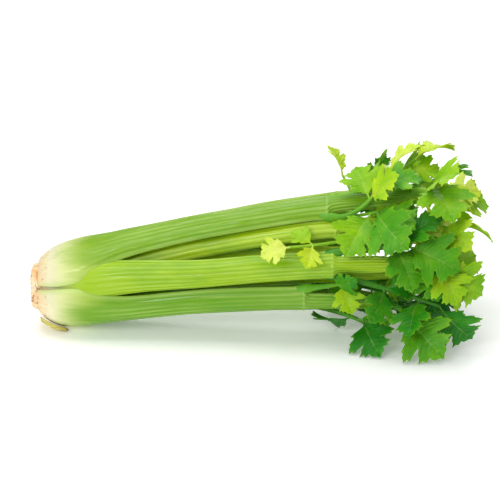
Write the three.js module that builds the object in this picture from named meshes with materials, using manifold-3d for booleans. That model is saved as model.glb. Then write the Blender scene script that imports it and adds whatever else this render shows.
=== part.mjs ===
// A head of celery as cut and sold, lying on its side, in millimetres.
// It lies along X, with the trimmed root end at low X and the leaves at high X. +Z is up and the floor is z = 0.
// A short solid crown carries fourteen stalks in three whorls. In the outer whorl four wide sheaths wrap the bulb and
// two narrower stalks come up between them. Past its joint a stalk is a narrow rib, with a leafy branch leaving from
// a shoulder on one or both sides.

import * as THREE from "three";
import { mergeVertices } from "three/addons/utils/BufferGeometryUtils.js";
import Module from "manifold-3d";

const wasm = await Module();
wasm.setup();

const DEGREE = Math.PI / 180;
const ALONG = new THREE.Vector3(1, 0, 0);
const UP = new THREE.Vector3(0, 0, 1);

// Driving dimensions. A list of pairs gives a size at places along the head: [x, size].
const CLEAR = 0.35; // gap between pieces that touch
const AXIS_HEIGHT = [[0, 34.6], [22, 35.8], [40, 38.2], [82, 45.5], [141, 54], [226, 63], [340, 69]];
const CROWN_RADIUS = [[0, 18.6], [4, 20.2], [9, 20.6], [14, 18.5], [20, 15.6], [34, 11], [52, 5]];
const CROWN_STEPS = [0, 1.2, 4, 10, 20, 34, 52];
const CROWN_SIDES = 24;
const SAWN_EDGE = 0.8; // wear of the crown's sawn edge
const RIB_HEIGHT = 0.55;
const RIB_FULL = [[8, 0], [45, 0.5], [90, 1]]; // ribs rise out of the smooth base
const EDGE_SHARE = 0.36; // a stalk's edge thickness as a share of its back's
const EDGE_POWER = 2.4; // how late that thinning comes towards the edge
const NECK_SHARE = 0.62; // width of the rib past the joint as a share of the stalk's
const JOINT_SWELL = 1.08;
const SWELL_BEFORE = 2; // the swelling is fullest this far before the joint
const SWELL_REACH = 9;
const SHOULDER = 1.6; // length over which the stalk steps down at its joint
const DRIFT = [50, 160]; // a stalk's turn changes between these places
const RISE_ENDS = [40, 90]; // a sheath that stands out at the bulb sinks back between these places
const SPREADS_FROM = 60; // a stalk's reach grows from here
const SPREADS_OVER = 200; // over this length

const OUTER = {
  apex: [[0, 17.5], [6, 23.5], [14, 30.5], [26, 36], [42, 38.6], [62, 41], [110, 44], [225, 52], [335, 60]],
  half: [[0, 13], [7, 17], [14, 21.5], [26, 26], [42, 27], [56, 22.5], [80, 16.8], [110, 14], [230, 12.8], [340, 11]],
  thick: [[0, 4], [8, 6.5], [26, 8.2], [60, 8.4], [130, 8], [240, 7], [340, 5.4]],
  bow: [[0, 50], [26, 52], [45, 50], [80, 47], [110, 53], [340, 58]],
  tilt: [[0, 0], [130, 2]],
  ribs: 9,
  steps: [7, 14, 26, 42, 56, 76, 105, 140, 185],
};
// Stalks that come up between two sheaths and show only above them.
const TUCKED = {
  ...OUTER,
  apex: [[0, 14], [6, 18], [14, 23], [26, 29.5], [42, 35.2], [62, 39.2], [110, 42], [225, 50], [335, 58]],
  half: [[0, 9], [14, 13], [26, 15.5], [42, 17], [62, 15.5], [90, 13.6], [130, 12.8], [230, 12.4], [340, 11]],
  bow: [[0, 42], [40, 43], [90, 53], [340, 58]],
  steps: [9, 16, 26, 40, 56, 76, 105, 140, 185],
};
const INNER = {
  apex: [[10, 12], [20, 17], [32, 20.5], [48, 23.6], [80, 27], [140, 31], [225, 38], [335, 43]],
  half: [[10, 9], [32, 11.5], [60, 11.2], [100, 9.4], [225, 8.6], [340, 7]],
  thick: [[10, 3.5], [32, 5], [80, 5.8], [225, 5.6], [340, 4.4]],
  bow: [[10, 44], [60, 50], [340, 56]],
  tilt: [[10, 15], [60, 14], [120, 6]],
  ribs: 5,
  steps: [14, 22, 34, 52, 80, 130, 190],
};
const HEART = {
  apex: [[26, 8.5], [45, 11.5], [80, 13.5], [160, 16.5], [225, 19], [330, 24]],
  half: [[26, 4.5], [60, 6.2], [225, 5.4], [330, 4.2]],
  thick: [[26, 2.8], [60, 4.2], [225, 4], [330, 3]],
  bow: [[26, 50], [330, 54]],
  tilt: [[26, 8], [330, 4]],
  ribs: 3,
  steps: [30, 42, 62, 100, 160],
};

// The stub of a torn-off stalk, on the bulb's front near the floor.
const STUB_TURN = 298;
const STUB_UNDER = ["outer_stalk_1", "outer_stalk_6"];
const STUB = {
  apex: [[4, 27.5], [12, 34], [22, 39.4], [32, 41.6]],
  half: [[4, 7], [12, 10], [24, 9], [32, 6.5]],
  thick: [[4, 2.8], [20, 2.8], [32, 2.2]],
  bow: [[4, 24], [32, 24]],
  tilt: [[4, 0], [32, 0]],
  ribs: 3,
  steps: [8, 12, 20, 28, 32],
};

// turn: degrees round the bunch at the base and further up, where 0 faces -Y and 90 is up.
// joint: where the leafy branches leave it.
// end: where it is cut off, or runs into its last leaf.
// reach: share of the whorl's distance from the axis at the leaves.
// girth: its width as a share of the whorl's.
// rise: how far its sheath stands out at the bulb.
// under: the neighbours whose sheaths lie over its own.
const STALKS = [
  {
    name: "outer_stalk_1",
    whorl: OUTER,
    turn: [-38, -34],
    joint: 232,
    end: 300,
    reach: 1,
    girth: 1.12,
    under: ["outer_stalk_6"],
  },
  {
    name: "outer_stalk_2",
    whorl: TUCKED,
    turn: [20, 9],
    joint: 255,
    end: 321,
    reach: 0.98,
    girth: 0.86,
    under: ["outer_stalk_1", "outer_stalk_3"],
  },
  {
    name: "outer_stalk_3",
    whorl: OUTER,
    turn: [72, 76],
    joint: 251,
    end: 330,
    reach: 1.02,
    girth: 1,
    rise: 0.5,
    under: ["outer_stalk_1"],
  },
  {
    name: "outer_stalk_4",
    whorl: TUCKED,
    turn: [133, 134],
    joint: 262,
    end: 312,
    reach: 1.06,
    girth: 1,
    under: ["outer_stalk_3", "outer_stalk_5"],
  },
  {
    name: "outer_stalk_5",
    whorl: OUTER,
    turn: [190, 195],
    joint: 240,
    end: 318,
    reach: 0.97,
    girth: 1,
    under: ["outer_stalk_6"],
  },
  {
    name: "outer_stalk_6",
    whorl: OUTER,
    turn: [256, 258],
    joint: 246,
    end: 308,
    reach: 0.92,
    girth: 0.96,
    rise: 1,
    under: [],
  },
  { name: "inner_stalk_1", whorl: INNER, turn: [46, 54], joint: 258, end: 316, reach: 1.13 },
  { name: "inner_stalk_2", whorl: INNER, turn: [-28, -14], joint: 262, end: 318, reach: 0.9 },
  { name: "inner_stalk_3", whorl: INNER, turn: [115, 112], joint: 266, end: 322, reach: 1 },
  { name: "inner_stalk_4", whorl: INNER, turn: [187, 176], joint: 254, end: 312, reach: 1 },
  { name: "inner_stalk_5", whorl: INNER, turn: [258, 235], joint: 258, end: 316, reach: 0.93 },
  { name: "heart_stalk_1", whorl: HEART, turn: [28, 28], joint: 250, end: 300, reach: 1 },
  { name: "heart_stalk_2", whorl: HEART, turn: [150, 150], joint: 262, end: 312, reach: 1 },
  { name: "heart_stalk_3", whorl: HEART, turn: [270, 270], joint: 256, end: 306, reach: 1 },
];

// The leafy branches.
// from: the shoulder it leaves, where low faces a smaller turn and high a larger one, or the stalk's end.
// to: where its stem runs, as [x, turn, distance from the bunch's axis].
// hang: how much its leaflets hang, where 1 is half way to straight down.
// size: the length of its largest leaflet.
const BRANCHES = [
  { stalk: "outer_stalk_1", from: "high", to: [262, -14, 44], hang: 0.2, leaflets: 2, size: 30 },
  { stalk: "outer_stalk_1", from: "low", to: [282, -52, 62], hang: 1.5, leaflets: 3, size: 44 },
  { stalk: "outer_stalk_1", from: "end", to: [316, -38, 64], hang: 1.6, leaflets: 3, size: 54 },
  { stalk: "outer_stalk_2", from: "low", to: [342, -24, 66], hang: 0.6, leaflets: 5, size: 46 },
  { stalk: "outer_stalk_2", from: "high", to: [314, 25, 58], hang: 0.3, leaflets: 3, size: 52 },
  { stalk: "outer_stalk_2", from: "end", to: [340, 4, 54], hang: 0.4, leaflets: 5, size: 48 },
  { stalk: "outer_stalk_3", from: "low", to: [302, 64, 62], hang: 0.5, leaflets: 3, size: 42 },
  { stalk: "outer_stalk_3", from: "high", to: [304, 96, 66], hang: 0, leaflets: 3, size: 44 },
  { stalk: "outer_stalk_3", from: "end", to: [336, 74, 64], hang: 0.9, leaflets: 3, size: 54 },
  { stalk: "outer_stalk_4", from: "low", to: [326, 112, 76], hang: -0.5, leaflets: 5, size: 44 },
  { stalk: "outer_stalk_4", from: "high", to: [300, 150, 68], hang: 0.3, leaflets: 3, size: 44 },
  { stalk: "outer_stalk_4", from: "end", to: [338, 134, 64], hang: 0.4, leaflets: 3, size: 50 },
  { stalk: "outer_stalk_5", from: "low", to: [306, 178, 70], hang: 0.8, leaflets: 3, size: 46 },
  { stalk: "outer_stalk_5", from: "high", to: [284, 208, 66], hang: 1.1, leaflets: 3, size: 46 },
  { stalk: "outer_stalk_5", from: "end", to: [338, 194, 60], hang: 0.8, leaflets: 3, size: 50 },
  { stalk: "outer_stalk_6", from: "low", to: [304, 240, 60], hang: 0.5, leaflets: 3, size: 42 },
  { stalk: "outer_stalk_6", from: "high", to: [276, 292, 46], hang: 0.3, leaflets: 2, size: 34 },
  { stalk: "outer_stalk_6", from: "end", to: [334, 262, 48], hang: 0.2, leaflets: 3, size: 46 },
  { stalk: "inner_stalk_1", from: "high", to: [286, 46, 65], hang: 1.6, leaflets: 3, size: 52 },
  { stalk: "inner_stalk_1", from: "low", to: [218, 29, 57], hang: 0, leaflets: 3, size: 28 },
  { stalk: "inner_stalk_1", from: "end", to: [350, 42, 48], hang: 0.4, leaflets: 5, size: 42 },
  { stalk: "inner_stalk_2", from: "low", to: [304, -34, 38], hang: 0.5, leaflets: 2, size: 34 },
  { stalk: "inner_stalk_2", from: "end", to: [350, -14, 34], hang: 0.4, leaflets: 3, size: 36 },
  { stalk: "inner_stalk_3", from: "low", to: [264, 108, 66], hang: -2, leaflets: 1, size: 32 },
  { stalk: "inner_stalk_3", from: "high", to: [302, 124, 46], hang: 0.2, leaflets: 2, size: 36 },
  { stalk: "inner_stalk_3", from: "end", to: [352, 100, 42], hang: 0.1, leaflets: 3, size: 42 },
  { stalk: "inner_stalk_4", from: "high", to: [286, 162, 46], hang: 0.4, leaflets: 2, size: 30 },
  { stalk: "inner_stalk_4", from: "end", to: [346, 156, 38], hang: 0.3, leaflets: 2, size: 40 },
  { stalk: "inner_stalk_5", from: "low", to: [318, 216, 42], hang: 0.5, leaflets: 2, size: 34 },
  { stalk: "inner_stalk_5", from: "end", to: [348, 232, 34], hang: 0.3, leaflets: 2, size: 40 },
  { stalk: "heart_stalk_1", from: "end", to: [334, 50, 22], hang: 0, leaflets: 3, size: 28 },
  { stalk: "heart_stalk_2", from: "end", to: [342, 160, 20], hang: 0, leaflets: 2, size: 26 },
  { stalk: "heart_stalk_3", from: "end", to: [338, 275, 20], hang: 0, leaflets: 2, size: 30 },
];

// Where leaflets sit on a branch: [place along its stem, side, length as a share of the largest].
const LEAFLET_PLACES = [[1, 0, 1], [0.82, 1, 0.86], [0.82, -1, 0.86], [0.52, 1, 0.72], [0.52, -1, 0.72]];

const PALE_BASE = new THREE.MeshStandardMaterial({ color: 0xe9e2c4, roughness: 0.55, metalness: 0 });
const STALK_GREEN = new THREE.MeshStandardMaterial({ color: 0x8fc832, roughness: 0.35, metalness: 0 });
const HEART_GREEN = new THREE.MeshStandardMaterial({ color: 0xc6de62, roughness: 0.4, metalness: 0 });
const LEAF_GREEN = new THREE.MeshStandardMaterial({ color: 0x4c9a1e, roughness: 0.5, metalness: 0 });

// The value at x of a smooth curve through pairs [x, value], level beyond both ends.
function through(knots, x) {
  const last = knots.length - 1;
  if (x <= knots[0][0]) return knots[0][1];
  if (x >= knots[last][0]) return knots[last][1];
  let i = 0;
  while (x > knots[i + 1][0]) i += 1;
  const slope = (j) => {
    const [xa, ya] = knots[Math.max(j - 1, 0)];
    const [xb, yb] = knots[Math.min(j + 1, last)];
    return (yb - ya) / (xb - xa);
  };
  const [x0, y0] = knots[i];
  const [x1, y1] = knots[i + 1];
  const span = x1 - x0;
  const t = (x - x0) / span;
  const bend = t * (1 - t) * span * (slope(i) * (1 - t) - slope(i + 1) * t);
  return y0 + (y1 - y0) * t * t * (3 - 2 * t) + bend;
}

// A closed mesh of shared vertices as a solid.
function solidOf(points, faces) {
  const geometry = new THREE.BufferGeometry();
  geometry.setAttribute("position", new THREE.Float32BufferAttribute(points.flatMap((p) => [p.x, p.y, p.z]), 3));
  geometry.setIndex(faces.flat());
  const merged = mergeVertices(geometry, 1e-4);
  return new wasm.Manifold(
    new wasm.Mesh({
      numProp: 3,
      vertProperties: merged.attributes.position.array,
      triVerts: new Uint32Array(merged.index.array),
    }),
  );
}

// Triangles over a flat ring that lies across X. A crescent isn't convex, so a fan won't do.
function capOf(ring) {
  const contour = ring.map((p) => new THREE.Vector2(p.y, p.z));
  return THREE.ShapeUtils.triangulateShape(contour, []);
}

// A skin over rings of points, closed at both ends. Rings run anticlockwise seen from +X.
function loft(rings) {
  const n = rings[0].length;
  const faces = [];
  for (let r = 0; r + 1 < rings.length; r += 1) {
    for (let i = 0; i < n; i += 1) {
      const j = (i + 1) % n;
      const [a, b, c, d] = [r * n + i, r * n + j, (r + 1) * n + j, (r + 1) * n + i];
      faces.push([a, b, c], [a, c, d]);
    }
  }
  const last = (rings.length - 1) * n;
  for (const [a, b, c] of capOf(rings[0])) faces.push([a, c, b]);
  for (const [a, b, c] of capOf(rings.at(-1))) faces.push([last + a, last + b, last + c]);
  return solidOf(rings.flat(), faces);
}

// The stalk's cross-section at x: a crescent whose back faces away from the bunch's axis.
function sectionAt(stalk, x) {
  const { whorl, joint, reach, turn, girth = 1, rise = 0 } = stalk;
  const drift = THREE.MathUtils.smoothstep(x, ...DRIFT);
  const past = Math.min(Math.max((x - joint) / SHOULDER, 0), 1);
  const swell = 1 + (JOINT_SWELL - 1) * Math.max(0, 1 - Math.abs(x - joint + SWELL_BEFORE) / SWELL_REACH);
  const outwards = 1 + (reach - 1) * Math.min(Math.max((x - SPREADS_FROM) / SPREADS_OVER, 0), 1);
  return {
    apex: through(whorl.apex, x) * outwards + rise * (1 - THREE.MathUtils.smoothstep(x, ...RISE_ENDS)),
    half: through(whorl.half, x) * (1 + (girth - 1) * drift) * swell * (1 - (1 - NECK_SHARE) * past),
    thick: through(whorl.thick, x) * swell,
    bow: through(whorl.bow, x) * DEGREE,
    tilt: through(whorl.tilt, x) * DEGREE,
    turn: (turn[0] + (turn[1] - turn[0]) * drift) * DEGREE,
  };
}

// A point of the cross-section: u runs from -1 to 1 across it, side is 1 on the ribbed back and -1 in the channel.
function sectionPoint(stalk, x, u, side, rib = 0, grow = 0) {
  const s = sectionAt(stalk, x);
  const radius = s.half / Math.sin(s.bow);
  const thickness = s.thick * (1 - (1 - EDGE_SHARE) * Math.abs(u) ** EDGE_POWER) + 2 * grow;
  const r = radius + side * (thickness / 2) + rib;
  const bow = s.bow * (1 + grow / s.half);
  const out = r * Math.cos(bow * u) - radius;
  const across = r * Math.sin(bow * u);
  const radial = s.apex - s.thick / 2 + out * Math.cos(s.tilt) + across * Math.sin(s.tilt);
  const sideways = across * Math.cos(s.tilt) - out * Math.sin(s.tilt);
  return new THREE.Vector3(
    x,
    -radial * Math.cos(s.turn) + sideways * Math.sin(s.turn),
    through(AXIS_HEIGHT, x) + radial * Math.sin(s.turn) + sideways * Math.cos(s.turn),
  );
}

// The closed outline of the cross-section, with its ribs.
function sectionRing(stalk, x, grow = 0) {
  const { ribs } = stalk.whorl;
  const height = RIB_HEIGHT * through(RIB_FULL, x);
  const backs = 2 * ribs;
  const ring = [];
  for (let i = 0; i <= backs; i += 1) {
    ring.push(sectionPoint(stalk, x, 1 - (2 * i) / backs, 1, i % 2 ? height / 2 : -height / 2, grow));
  }
  const hollows = stalk.whorl === HEART ? 2 : 4;
  for (let i = 0; i <= hollows; i += 1) ring.push(sectionPoint(stalk, x, (2 * i) / hollows - 1, -1, 0, grow));
  return ring;
}

function stalkSolid(stalk, grow = 0) {
  const { joint, end, whorl } = stalk;
  const stations = [...whorl.steps, joint, joint + SHOULDER, end];
  return loft(stations.map((x) => sectionRing(stalk, x, grow)));
}

// The crown is the plant's short solid stem: sawn flat at x = 0 and tapering up inside the stalks' bases.
function crownSolid(grow = 0) {
  const rings = CROWN_STEPS.map((x, r) => {
    const worn = r ? 0 : SAWN_EDGE;
    const last = r + 1 === CROWN_STEPS.length;
    const end = x + (last ? grow : 0) - (r ? 0 : grow);
    return Array.from({ length: CROWN_SIDES }, (_, i) => {
      const a = (2 * Math.PI * i) / CROWN_SIDES;
      const lumpy = 1 + 0.035 * Math.sin(3 * a + 0.6) + 0.02 * Math.sin(7 * a + x / 6);
      const radius = (through(CROWN_RADIUS, x) - worn) * lumpy + grow;
      const height = through(AXIS_HEIGHT, x) + radius * Math.sin(a);
      return new THREE.Vector3(end, radius * Math.cos(a), height);
    });
  });
  return loft(rings);
}

// One half of a leaflet's outline, which the other half mirrors. Each knot is [along, out] as shares of its length.
const LEAF_EDGE = [
  [0, 0.016], [0.17, 0.04], [0.34, 0.34], [0.44, 0.29], [0.64, 0.5], [0.6, 0.19], [0.8, 0.35], [0.83, 0.15], [1, 0],
];
const LEAF_RIB = [0.3, 0.62]; // points along the midrib between base and tip
const LEAF_THICK = 0.72;
const ARCH = 55 * DEGREE; // how far a leaflet's tip turns down
const FOLD = 0.18; // rise of a leaflet's halves beside its rib, as a share of their width
const WAVE = 0.09; // height of the waves at its edge as a share of its length
const WAVES = 9; // radians of wave from base to tip
const HALVES_APART = 2; // radians between the waves of its two halves
const SWING = 58 * DEGREE; // angle between a branch's end leaflet and its side ones
const LEAF_SPREAD = 0.3; // how much a leaflet heads away from the bunch
const LEAF_TILT = 0.35; // how much its face turns up
const LEAF_SINK = 0.5; // a leaflet starts this share of the stem's radius inside it
const LEAF_SIZES = [0.92, 0.16]; // the smallest leaflet, and what a draw adds, as shares of the size asked for
const LEAF_ARCHES = [0.6, 0.8];
const LEAF_TURNS = [1.6, 1.6, 2]; // how widely swing, pitch and roll are drawn
const FIRST_SPREAD = 0.1;
const LAST_SPREAD = 1.3;
const SHOULDER_PLACE = 0.86; // where a branch leaves a shoulder, as a share of the stalk's half width
const END_GAP = 1.3; // between a stalk's cut end and the stem that carries its last leaf on
const LEAVE_SLOPE = 0.22; // how far to the side a branch leans as it leaves
const BEND_SHARE = 0.45;
const STEM_SHARE = 0.22; // a stem's radius as a share of its stalk's half width
const STEM_SIDES = 5;
const STEM_STEPS = 3;
const STEM_TAPER = 0.55;
const STEM_PLACES = 12; // parts of a stem's line when distances are judged
const STEM_STRAY = [24, 40, 24]; // how widely the point a stem runs to is drawn: along, turn and out
const STEM_GAP = 2;
const OWN_STALK_EASE = 1;
const LEAF_GAP = 6.5; // wanted distance between sampled points of different branches
const OWN_EASE = -2; // leaflets of one branch may come this much nearer
const NEAR_STEM = 10; // a leaflet's first samples, which lie by its stem
const STALK_SAMPLES = { from: 200, step: 6 };
const FLOOR_GAP = 0.4;
const WELD = 0.02; // corners of a fused branch nearer than this become one
const TRIES = 140;
const STEM_SEED = 1600;
const LEAF_SEED = 2600;

// Draws the same run of numbers from 0 to 1 for the same seed.
function seeded(seed) {
  let state = seed >>> 0;
  return () => {
    state = (Math.imul(state, 1664525) + 1013904223) >>> 0;
    return state / 4294967296;
  };
}

// A right-handed frame of unit vectors: ahead, beside and face, from a heading and a rough facing.
function frameOf(heading, facing) {
  const ahead = heading.clone().normalize();
  const face = facing.clone().addScaledVector(ahead, -facing.dot(ahead)).normalize();
  return { ahead, beside: face.clone().cross(ahead), face };
}

// The frame swung sideways about its face, pitched up about its side and rolled about its heading.
function turned({ ahead, beside, face }, swing, pitch, roll) {
  const mix = (a, ka, b, kb) => a.clone().multiplyScalar(ka).addScaledVector(b, kb);
  const heading = mix(ahead, Math.cos(swing), beside, Math.sin(swing));
  const side = mix(beside, Math.cos(swing), ahead, -Math.sin(swing));
  const up = mix(face, Math.cos(pitch), heading, -Math.sin(pitch));
  return {
    ahead: mix(heading, Math.cos(pitch), face, Math.sin(pitch)),
    beside: mix(side, Math.cos(roll), up, Math.sin(roll)),
    face: mix(up, Math.cos(roll), side, -Math.sin(roll)),
  };
}

// Where a point of the flat leaflet comes to lie once it is arched, folded and waved. layer is 1 on its face and -1
// on its underside.
function leafPoint(leaf, along, out, layer = 0) {
  const a = leaf.arch * along;
  const waved = leaf.wave * Math.abs(out) * Math.sin(WAVES * along + leaf.phase + (out > 0 ? HALVES_APART : 0));
  const lift = FOLD * Math.abs(out) + waved + (layer * LEAF_THICK) / 2 / leaf.size;
  return leaf.base
    .clone()
    .addScaledVector(leaf.ahead, leaf.size * (Math.sin(a) / leaf.arch + lift * Math.sin(a)))
    .addScaledVector(leaf.beside, leaf.size * out)
    .addScaledVector(leaf.face, leaf.size * ((Math.cos(a) - 1) / leaf.arch + lift * Math.cos(a)));
}

// A thin closed blade, split along its rib and into the same triangles on both faces.
function leafSolid(leaf) {
  const rib = LEAF_RIB.map((along) => [along, 0]);
  const near = LEAF_EDGE.map(([along, out]) => [along, -out]);
  const flat = [[0, 0], ...near, ...LEAF_EDGE.slice(0, -1).toReversed(), ...rib];
  const edge = LEAF_EDGE.length;
  const ribs = rib.map((_, i) => 2 * edge + i);
  const halves = [
    [0, ...LEAF_EDGE.map((_, i) => i + 1), ...ribs.toReversed()],
    [0, ...ribs, ...LEAF_EDGE.map((_, i) => edge + i)],
  ];
  const faces = [];
  const n = flat.length;
  for (const half of halves) {
    const contour = half.map((i) => new THREE.Vector2(...flat[i]));
    for (const triangle of THREE.ShapeUtils.triangulateShape(contour, [])) {
      const [a, b, c] = triangle.map((i) => half[i]);
      faces.push([a, b, c], [n + a, n + c, n + b]);
    }
  }
  const border = 2 * edge;
  for (let i = 0; i < border; i += 1) {
    const j = (i + 1) % border;
    faces.push([j, i, n + i], [j, n + i, n + j]);
  }
  const points = [1, -1].flatMap((layer) => flat.map(([along, out]) => leafPoint(leaf, along, out, layer)));
  return solidOf(points, faces);
}

// Points spread over a leaflet, by which its distance from others is judged.
function leafSamples(leaf) {
  const samples = [];
  for (const along of [0.2, 0.32, 0.44, 0.56, 0.68, 0.8, 0.92, 1]) {
    const width = along < 0.65 ? 0.08 + 0.66 * along : 1.36 * (1.02 - along);
    for (const share of [-1, -0.5, 0, 0.5, 1]) samples.push(leafPoint(leaf, along, width * share));
  }
  return samples;
}

// A quadratic curve from start to finish that leaves along bend, as points.
function curve(start, bend, finish, steps) {
  return Array.from({ length: steps + 1 }, (_, i) => {
    const t = i / steps;
    return new THREE.Vector3()
      .addScaledVector(start, (1 - t) ** 2)
      .addScaledVector(bend, 2 * t * (1 - t))
      .addScaledVector(finish, t ** 2);
  });
}

// A round stem along points, thinning to the share taper at its end.
function stemSolid(points, radius, taper) {
  const sides = STEM_SIDES;
  const last = points.length - 1;
  const rings = points.map((p, i) => {
    const heading = points[Math.min(i + 1, last)].clone().sub(points[Math.max(i - 1, 0)]);
    const { beside, face } = frameOf(heading, new THREE.Vector3(0.3, 0.5, 1));
    const r = radius * (1 - ((1 - taper) * i) / last);
    return Array.from({ length: sides }, (_, k) => {
      const a = (2 * Math.PI * k) / sides;
      return p.clone().addScaledVector(beside, r * Math.cos(a)).addScaledVector(face, r * Math.sin(a));
    });
  });
  const faces = [];
  for (let r = 0; r < last; r += 1) {
    for (let i = 0; i < sides; i += 1) {
      const j = (i + 1) % sides;
      const [a, b, c, d] = [r * sides + i, r * sides + j, (r + 1) * sides + j, (r + 1) * sides + i];
      faces.push([a, b, c], [a, c, d]);
    }
  }
  const top = last * sides;
  for (let i = 1; i + 1 < sides; i += 1) faces.push([0, i + 1, i], [top, top + i, top + i + 1]);
  const made = solidOf(rings.flat(), faces);
  return made.volume() > 0 ? made : solidOf(rings.flat(), faces.map(([a, b, c]) => [a, c, b]));
}

// A place in the bunch: x along it, turn round it in degrees and the distance out from its axis.
function bunchPoint([x, turn, out]) {
  const a = turn * DEGREE;
  return new THREE.Vector3(x, -out * Math.cos(a), through(AXIS_HEIGHT, x) + out * Math.sin(a));
}

// The line of a branch's stem. Its start is just clear of the stalk.
function stemLine(branch, to, steps) {
  const stalk = STALKS.find(({ name }) => name === branch.stalk);
  const side = { low: -1, high: 1, end: 0 }[branch.from];
  const start = sectionPoint(stalk, side ? stalk.joint : stalk.end, side * SHOULDER_PLACE, 0);
  start.x += side ? SHOULDER + CLEAR : END_GAP;
  const finish = bunchPoint(to);
  const beside = sectionPoint(stalk, stalk.joint, 1, 0).sub(sectionPoint(stalk, stalk.joint, -1, 0)).normalize();
  const leave = ALONG.clone().addScaledVector(beside, side * LEAVE_SLOPE);
  const bend = start.clone().addScaledVector(leave, BEND_SHARE * start.distanceTo(finish));
  return curve(start, bend, finish, steps);
}

// The distance from the nearest of points to the nearest obstacle, less that obstacle's own radius.
function clearance(points, obstacles, owner) {
  let least = Infinity;
  for (const { point, radius, of } of obstacles) {
    if (of !== undefined && of === owner) continue;
    for (const p of points) {
      const gap = p.distanceTo(point) - radius;
      if (gap < least) least = gap;
    }
  }
  return least;
}

// Points over the upper stalks, from which branches keep away.
function stalkSamples() {
  const obstacles = [];
  for (const stalk of STALKS) {
    for (let x = STALK_SAMPLES.from; x <= stalk.end; x += STALK_SAMPLES.step) {
      for (const u of [-1, -0.5, 0, 0.5, 1]) {
        for (const side of [-1, 1]) {
          obstacles.push({ point: sectionPoint(stalk, x, u, side), radius: 0, of: stalk.name });
        }
      }
    }
  }
  return obstacles;
}

// A branch with the line of its stem, moved from where it would run until it is clear of the obstacles.
function growStem(branch, index, obstacles) {
  const draw = seeded(STEM_SEED + index);
  const stalk = STALKS.find(({ name }) => name === branch.stalk);
  const radius = STEM_SHARE * through(stalk.whorl.half, stalk.joint);
  let best = { clear: -Infinity };
  for (let i = 0; i < TRIES && best.clear < STEM_GAP; i += 1) {
    const spread = i / TRIES;
    const to = branch.to.map((place, k) => place + STEM_STRAY[k] * spread * (draw() - 0.5));
    const line = stemLine(branch, to, STEM_PLACES);
    const clear = Math.min(
      clearance(line.slice(3), obstacles, branch.stalk) - radius,
      clearance(line.slice(5), obstacles) - radius + OWN_STALK_EASE,
    );
    if (clear > best.clear) best = { clear, to, line };
  }
  for (const point of best.line) obstacles.push({ point, radius, of: index });
  return { ...branch, ...best, radius, index, leaves: [] };
}

// Adds a branch's leaflets, each turned from how it would hang until it is clear of the obstacles.
function growLeaflets(branch, obstacles) {
  const draw = seeded(LEAF_SEED + branch.index);
  const own = [];
  for (const [place, side, share] of LEAFLET_PLACES.slice(0, branch.leaflets)) {
    const at = Math.round(STEM_PLACES * place);
    const base = branch.line[at].clone();
    const run = branch.line[at].clone().sub(branch.line[at - 1]).normalize();
    const away = new THREE.Vector3(0, base.y, base.z - through(AXIS_HEIGHT, base.x)).normalize();
    const heading = run.clone().addScaledVector(away, LEAF_SPREAD).addScaledVector(UP, -branch.hang);
    const rest = frameOf(heading, away.clone().addScaledVector(UP, LEAF_TILT));
    const common = {
      base: base.addScaledVector(run, -LEAF_SINK * branch.radius),
      size: branch.size * share * (LEAF_SIZES[0] + LEAF_SIZES[1] * draw()),
      arch: ARCH * (LEAF_ARCHES[0] + LEAF_ARCHES[1] * draw()),
      wave: WAVE,
      phase: 6 * draw(),
    };
    let best = { clear: -Infinity };
    for (let i = 0; i < TRIES && best.clear < LEAF_GAP; i += 1) {
      const spread = FIRST_SPREAD + LAST_SPREAD * (i / TRIES);
      const [swing, pitch, roll] = LEAF_TURNS.map((width) => spread * (draw() - 0.5) * width);
      const leaf = { ...common, ...turned(rest, SWING * side + swing, pitch, roll) };
      const samples = leafSamples(leaf);
      const floor = Math.min(...samples.map((p) => p.z)) + LEAF_GAP - FLOOR_GAP;
      const apart = clearance(samples.slice(NEAR_STEM), own);
      const clear = Math.min(clearance(samples, obstacles, branch.index), floor, apart);
      if (clear > best.clear) best = { clear, leaf, samples };
    }
    branch.leaves.push(best.leaf);
    for (const point of best.samples) obstacles.push({ point, radius: 0, of: branch.index });
    own.push(...best.samples.slice(NEAR_STEM).map((point) => ({ point, radius: OWN_EASE })));
  }
}

// Every branch with its stem and leaflets. All stems are placed before the first leaflet.
function growBranches() {
  const obstacles = stalkSamples();
  const grown = BRANCHES.map((branch, index) => growStem(branch, index, obstacles));
  for (const branch of grown) growLeaflets(branch, obstacles);
  return grown;
}

function branchSolid(branch) {
  const line = stemLine(branch, branch.to, STEM_STEPS);
  const stem = stemSolid(line, branch.radius, STEM_TAPER);
  return wasm.Manifold.union([stem, ...branch.leaves.map(leafSolid)]).asOriginal().simplify(WELD);
}

// The dried stub of a stalk that was torn off low on the bulb: a short flap against its neighbours' backs.
function stubSolid() {
  const stub = { whorl: STUB, turn: [STUB_TURN, STUB_TURN], joint: Infinity, reach: 1 };
  return loft(STUB.steps.map((x) => sectionRing(stub, x)));
}

// Where pieces would cross, the crown keeps its form, and a sheath that lies over another one keeps its own.
// A piece is cut back by a slightly grown copy of what it meets, which leaves the gap CLEAR.
const { difference } = wasm.Manifold;
const socket = crownSolid(CLEAR);
const grownSheath = (name) => stalkSolid(STALKS.find((stalk) => stalk.name === name), CLEAR);
const cutBack = (solid, under = []) => difference([solid, socket, ...under.map(grownSheath)]);
const pieces = [
  { name: "crown", solid: crownSolid(), material: PALE_BASE },
  ...STALKS.map((stalk) => ({
    name: stalk.name,
    solid: cutBack(stalkSolid(stalk), stalk.under),
    material: stalk.under ? STALK_GREEN : HEART_GREEN,
  })),
  { name: "trimmed_stub", solid: cutBack(stubSolid(), STUB_UNDER), material: PALE_BASE },
  ...growBranches().map((branch) => ({
    name: `${branch.stalk}_leaves_${branch.from}`,
    solid: branchSolid(branch),
    material: LEAF_GREEN,
  })),
];

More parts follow.
